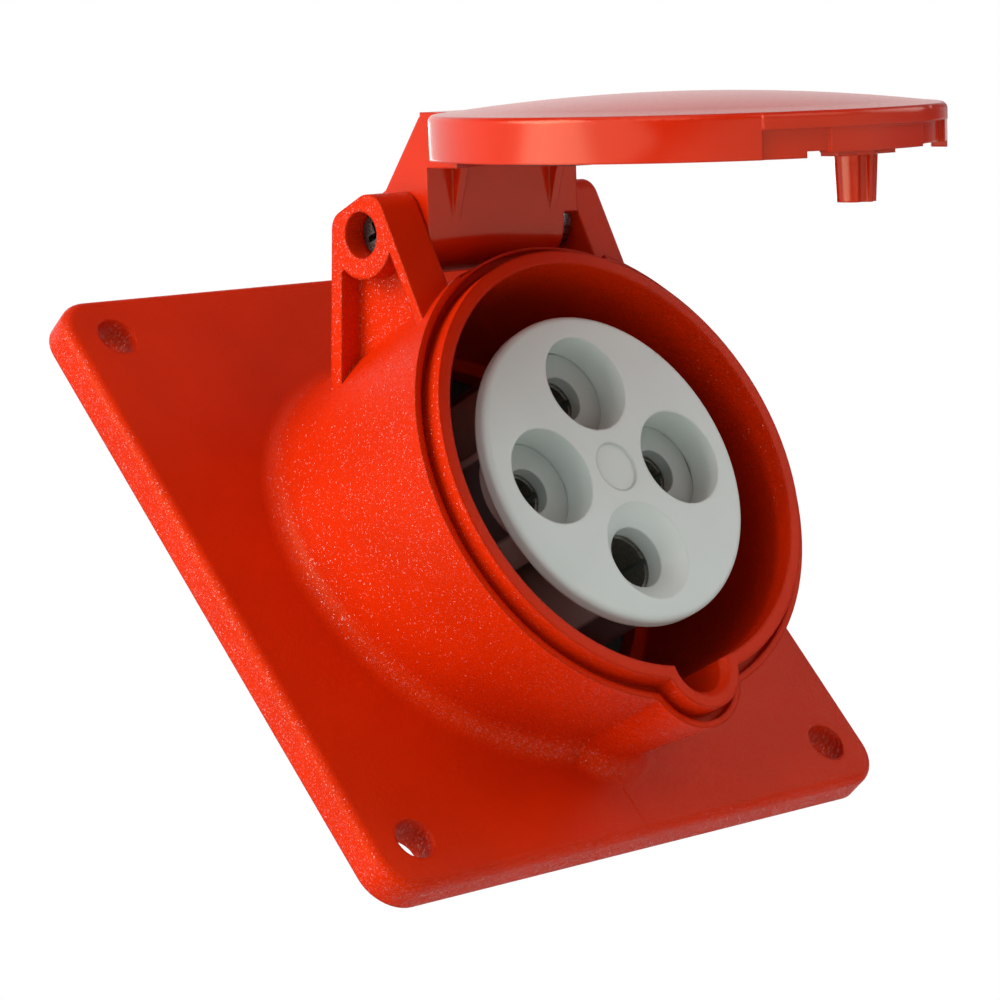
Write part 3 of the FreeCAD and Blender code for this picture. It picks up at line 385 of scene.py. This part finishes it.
class SocketLook(bpy.types.PropertyGroup):
    """Colours and grain of the mouldings."""
    housing_colour: bpy.props.StringProperty(
        name="Housing", description="Body colour", default="#BE2100")
    housing_deep: bpy.props.StringProperty(
        name="Housing deep", description="Darker flow", default="#B41D00")
    lid_colour: bpy.props.StringProperty(
        name="Lid", description="Body colour of the lid", default="#BC1F00")
    lid_deep: bpy.props.StringProperty(
        name="Lid deep", description="Darker flow of the lid", default="#B21B00")
    insert_colour: bpy.props.StringProperty(
        name="Insert", description="Grey of the insert", default="#C1C9C4")
    insert_deep: bpy.props.StringProperty(
        name="Insert deep", description="Darker grey", default="#BCC4BF")
    # the tubes' grey is the insert's grey deepened as painted shade for the cups' shadow
    tube_colour_painted_shade: bpy.props.StringProperty(
        name="Tubes", description="Grey of the tubes", default="#AEB5B0")
    tube_deep_painted_shade: bpy.props.StringProperty(
        name="Tubes deep", description="Darker grey of the tubes", default="#A8AFAA")
    # painted shade: the dark grey drawn on the tubes' outer walls where they stand in the recess
    tube_wall_painted_shade: bpy.props.StringProperty(
        name="Tubes outside", description="Their outer walls", default="#4A4A49")
    red_sheen: bpy.props.StringProperty(
        name="Sheen", description="Tint of the housing's shine", default="#FFB868")
    lid_sheen: bpy.props.StringProperty(
        name="Lid sheen", description="Tint of the lid's shine", default="#FFD9B4")
    rubber_colour: bpy.props.StringProperty(
        name="Rubber", description="Colour of the seals", default="#232324")
    grain: bpy.props.FloatProperty(
        name="Grain", description="Size of the housing's eroded grain in mm", default=0.42, min=0.1, max=2.0)


class SocketSizes(bpy.types.PropertyGroup):
    """Sizes of the pieces that are made here."""
    bead_half: bpy.props.FloatProperty(
        name="Bead half width", description="Half width of the parting line in mm", default=0.22, min=0.05,
        max=1.0)
    bead_rise: bpy.props.FloatProperty(
        name="Bead rise", description="Height of the parting line in mm", default=0.07, min=0.01, max=0.5)
    smooth_angle: bpy.props.FloatProperty(
        name="Smooth below", description="Facets that meet flatter are smooth", default=math.radians(24.0),
        subtype="ANGLE", unit="ROTATION")


class SocketStudio(bpy.types.PropertyGroup):
    """Lamps and room."""
    key: bpy.props.FloatProperty(
        name="Key", description="Power of the lamp above on the left", default=10.9, unit="POWER")
    side: bpy.props.FloatProperty(
        name="Side", description="Power of the lamp that grazes the flange", default=4.8, unit="POWER")
    fill: bpy.props.FloatProperty(
        name="Fill", description="Scale of the weak lamps' power", default=1.0)
    dim_side: bpy.props.FloatProperty(
        name="Dim side", default=0.08,
        description="How bright the room on the camera's side is in reflections, against the white wall")
    room: bpy.props.FloatProperty(
        name="Room", description="Strength of the room's own light", default=0.15)


class SOCKET_OT_mouldings(bpy.types.Operator):
    """Red housing and lid: smooth skins over the frame's own shapes"""
    bl_idname = "socket.mouldings"
    bl_label = "Housing and lid"

    def execute(self, context):
        look, sizes = context.scene.socket_look, context.scene.socket_sizes
        for name, body, mat in (("housing", "base", housing_red(look)), ("lid", "cover", lid_red(look))):
            skin = joined_copy(name + "_skin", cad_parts[name], sizes.smooth_angle)
            skin.data.materials.append(mat)
            dress([name], mat)
            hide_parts(name)
            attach(skin, body)
        return {"FINISHED"}


class SOCKET_OT_parting_line(bpy.types.Operator):
    """Faint bead that the halves of the tool leave on the flange below the keyway boss"""
    bl_idname = "socket.parting_line"
    bl_label = "Parting line"

    def execute(self, context):
        sizes = context.scene.socket_sizes
        bead = half_round_bead("parting_line", *BEAD_PATH_MM, sizes.bead_half, sizes.bead_rise)
        bead.data.materials.append(bpy.data.materials[HOUSING_RED])
        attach(bead, "base")
        return {"FINISHED"}


class SOCKET_OT_insert(bpy.types.Operator):
    """Grey insert: its face as a smooth skin, and the tubes and base behind it"""
    bl_idname = "socket.insert"
    bl_label = "Contact insert"

    def execute(self, context):
        look, sizes = context.scene.socket_look, context.scene.socket_sizes
        mat = insert_grey(look)
        skin = joined_copy("contact_insert_skin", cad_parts["contact_insert"], sizes.smooth_angle)
        skin.data.materials.append(mat)
        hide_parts("contact_insert")
        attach(skin, "base")
        dress(["contact_insert", "terminal_carrier"], mat)
        # the tubes carry painted shade on their outer walls
        dress([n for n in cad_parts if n.startswith("pin_tower_")], tube_grey(look))
        # the base behind the insert is drawn in painted shade
        dress(["insert_base"], base_painted_shade())
        return {"FINISHED"}


class SOCKET_OT_metal(bpy.types.Operator):
    """Sleeves, springs, clamps and screws"""
    bl_idname = "socket.metal"
    bl_label = "Metal parts"

    def execute(self, context):
        # nickel plate is warm and dull, drawn spring steel bright with long streaks, zinc cool and grey, and
        # browned steel dark
        nickel = plain_metal("contact metal, turned", "#D9D6CE", "#B4AFA4", rough=0.42, stretch=1.0)
        spring = plain_metal("spring steel, drawn", "#B4B6B8", "#84878A", rough=0.28, stretch=3.0)
        zinc = plain_metal("screw steel, zinc", "#A9AEB4", "#83888F", rough=0.38, stretch=1.0)
        dark = plain_metal("hinge screw, browned", "#7E827C", "#454844", rough=0.30, stretch=1.0)
        names = list(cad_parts)
        dress([n for n in names if n.startswith("contact_") and n != "contact_insert"], nickel)
        dress([n for n in names if n.startswith("sleeve_spring_")] + ["lid_spring"], spring)
        dress([n for n in names if n.startswith("wire_clamp_")] + ["terminal_screws", "carrier_screws"], zinc)
        dress(["hinge_screw"], dark)
        return {"FINISHED"}


def relieve_at_notch(ring):
    """Raises the ring's lower edge over the far part of the lid, where the skirt is cut for the key post.

    Height = max(height, NOTCH_EDGE_MM) for the points past NOTCH_FROM_MM, both from the hinge line."""
    spots = spots_of(ring.data)
    local = spots / MM - np.array(LID_HINGE_MM)
    high = local @ np.array(LID_UP)
    inside = local @ np.array(LID_OUT) > NOTCH_FROM_MM
    lift = np.where(inside, np.maximum(NOTCH_EDGE_MM - high, 0.0), 0.0)
    spots += (lift[:, None] * np.array(LID_UP) * MM).astype(np.float32)
    ring.data.vertices.foreach_set("co", spots.reshape(-1))
    ring.data.update()


class SOCKET_OT_seals(bpy.types.Operator):
    """Rubber ring in the lid and gasket in the back of the flange"""
    bl_idname = "socket.seals"
    bl_label = "Seals"

    def execute(self, context):
        look, sizes = context.scene.socket_look, context.scene.socket_sizes
        rubber = seal_rubber(look)
        dress(["lid_seal", "panel_gasket"], rubber)
        ring = joined_copy("lid_seal_skin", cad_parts["lid_seal"], sizes.smooth_angle)
        relieve_at_notch(ring)
        ring.data.materials.append(rubber)
        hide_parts("lid_seal")
        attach(ring, "cover")
        return {"FINISHED"}


def lamp(name, place, power, colour):
    """Soft square lamp at place, turned towards the part."""
    data = bpy.data.lights.new(name, "AREA")
    data.shape = "RECTANGLE"
    data.size = LAMP_SIDE
    data.size_y = LAMP_SIDE
    data.energy = power
    data.color = colour
    away = np.array(place) - np.array(LAMP_AIM)
    away /= np.linalg.norm(away)
    side = np.cross((0.0, 0.0, 1.0), away)
    side /= np.linalg.norm(side)
    stand(added(name, data), side, np.cross(away, side), away, place)


def white_room(studio):
    """World that the camera sees white, that reflections see white behind the part and dim on the camera's
    side, and that lights the part only weakly."""
    world = bpy.data.worlds.new("studio")
    world.use_nodes = True
    tree = world.node_tree
    tree.nodes.clear()
    out = node(tree, "ShaderNodeOutputWorld", (600, 0))
    path = node(tree, "ShaderNodeLightPath", (-900, 200))
    clear = node(tree, "ShaderNodeMath", (-350, 300),
                 {0: path.outputs["Is Camera Ray"], 1: path.outputs["Is Transmission Ray"]},
                 operation="MAXIMUM")
    toward = node(tree, "ShaderNodeTexCoord", (-1100, 0))
    split = node(tree, "ShaderNodeSeparateXYZ", (-900, 0), {"Vector": toward.outputs["Generated"]})
    wall = node(tree, "ShaderNodeMapRange", (-700, 0), {"Value": split.outputs["Y"]},
                interpolation_type="SMOOTHSTEP", From_Min=WALL_FROM, From_Max=WALL_TO, To_Min=studio.dim_side)
    shown = node(tree, "ShaderNodeMath", (-350, 100), {0: path.outputs["Is Glossy Ray"], 1: clear.outputs[0]},
                 operation="MAXIMUM")
    level = node(tree, "ShaderNodeMath", (-350, -60), {0: wall.outputs[0], 1: clear.outputs[0]},
                 operation="MAXIMUM")
    white = node(tree, "ShaderNodeBackground", (0, 100), {"Strength": level.outputs[0]}, Color=WHITE)
    dim = node(tree, "ShaderNodeBackground", (0, -100), Color=WHITE, Strength=studio.room)
    mix = node(tree, "ShaderNodeMixShader", (300, 0),
               {0: shown.outputs[0], 1: dim.outputs[0], 2: white.outputs[0]})
    tree.links.new(mix.outputs[0], out.inputs["Surface"])
    return world


def pale_floor():
    """Matt pale floor. The camera alone sees it lifted, with the part's shadow still on it."""
    mesh = bpy.data.meshes.new("floor")
    corners = np.array([(-1, -1, 0), (1, -1, 0), (1, 1, 0), (-1, 1, 0)]) * FLOOR_HALF
    mesh.from_pydata(corners + np.array([0.0, 0.0, FLOOR_HEIGHT]), [], [(0, 1, 2, 3)])
    floor = added("floor", mesh)
    mat, tree, out, at = fresh("floor, pale")
    cloud = node(tree, "ShaderNodeTexNoise", (-600, 0), {"Vector": at}, Scale=FLOOR_CLOUDS_PER_METRE,
                 Detail=2.0)
    tone = node(tree, "ShaderNodeValToRGB", (-300, 0), {"Fac": cloud.outputs["Fac"]},
                stops=((FLOOR_DEEP_AT, linear(FLOOR_DEEP)), (FLOOR_PALE_AT, linear(FLOOR_PALE))))
    tone = tone.outputs["Color"]
    path = node(tree, "ShaderNodeLightPath", (-300, -260))
    lift = node(tree, "ShaderNodeMath", (0, -260), {0: path.outputs["Is Camera Ray"]}, operation="MULTIPLY")
    lift.inputs[1].default_value = FLOOR_LIFT
    skin = node(tree, "ShaderNodeBsdfPrincipled", (300, 0),
                {"Base Color": tone, "Emission Color": tone, "Emission Strength": lift.outputs[0]},
                Roughness=FLOOR_ROUGH)
    tree.links.new(skin.outputs[0], out.inputs["Surface"])
    mesh.materials.append(mat)
    return floor


class SOCKET_OT_stage(bpy.types.Operator):
    """White room, pale floor, soft lamps and the camera of the photo"""
    bl_idname = "socket.stage"
    bl_label = "Stage"

    def execute(self, context):
        scene, studio = context.scene, context.scene.socket_studio
        scene.view_settings.view_transform = "Standard"
        scene.world = white_room(studio)
        floor = pale_floor()

        lamp("key lamp", KEY_PLACE, studio.key, WARM)
        lamp("side lamp", SIDE_PLACE, studio.side, WARM)
        for name, place, power in FILL_LAMPS:
            lamp(name, place, power * studio.fill, COOL)

        data = bpy.data.cameras.new("view")
        data.sensor_width = SENSOR_MM
        data.sensor_fit = "HORIZONTAL"
        data.lens = VIEW_LENS
        data.clip_start = CLIP_NEAR
        data.clip_end = CLIP_FAR
        camera = added("view", data)
        stand(camera, VIEW_RIGHT, -np.array(VIEW_DOWN), -np.array(VIEW_AHEAD), VIEW_PLACE)
        scene.camera = camera
        return {"FINISHED"}


STEPS = (SOCKET_OT_mouldings, SOCKET_OT_parting_line, SOCKET_OT_insert, SOCKET_OT_metal, SOCKET_OT_seals,
         SOCKET_OT_stage)


class SOCKET_PT_panel(bpy.types.Panel):
    """The socket's pieces and settings in the sidebar"""
    bl_idname = "SOCKET_PT_panel"
    bl_label = "Panel socket"
    bl_space_type = "VIEW_3D"
    bl_region_type = "UI"
    bl_category = "Socket"

    def draw(self, context):
        for step in STEPS:
            self.layout.operator(step.bl_idname)
        for group, names in ((context.scene.socket_look, SocketLook.__annotations__),
                             (context.scene.socket_sizes, SocketSizes.__annotations__),
                             (context.scene.socket_studio, SocketStudio.__annotations__)):
            for name in names:
                self.layout.prop(group, name)


CLASSES = (SocketLook, SocketSizes, SocketStudio) + STEPS + (SOCKET_PT_panel,)


def register():
    for cls in CLASSES:
        bpy.utils.register_class(cls)
    bpy.types.Scene.socket_look = bpy.props.PointerProperty(type=SocketLook)
    bpy.types.Scene.socket_sizes = bpy.props.PointerProperty(type=SocketSizes)
    bpy.types.Scene.socket_studio = bpy.props.PointerProperty(type=SocketStudio)


def unregister():
    del bpy.types.Scene.socket_look
    del bpy.types.Scene.socket_sizes
    del bpy.types.Scene.socket_studio
    for cls in reversed(CLASSES):
        bpy.utils.unregister_class(cls)


def main():
    register()
    bpy.ops.socket.mouldings()
    bpy.ops.socket.parting_line()
    bpy.ops.socket.insert()
    bpy.ops.socket.metal()
    bpy.ops.socket.seals()
    bpy.ops.socket.stage()


if __name__ == "__main__":
    main()
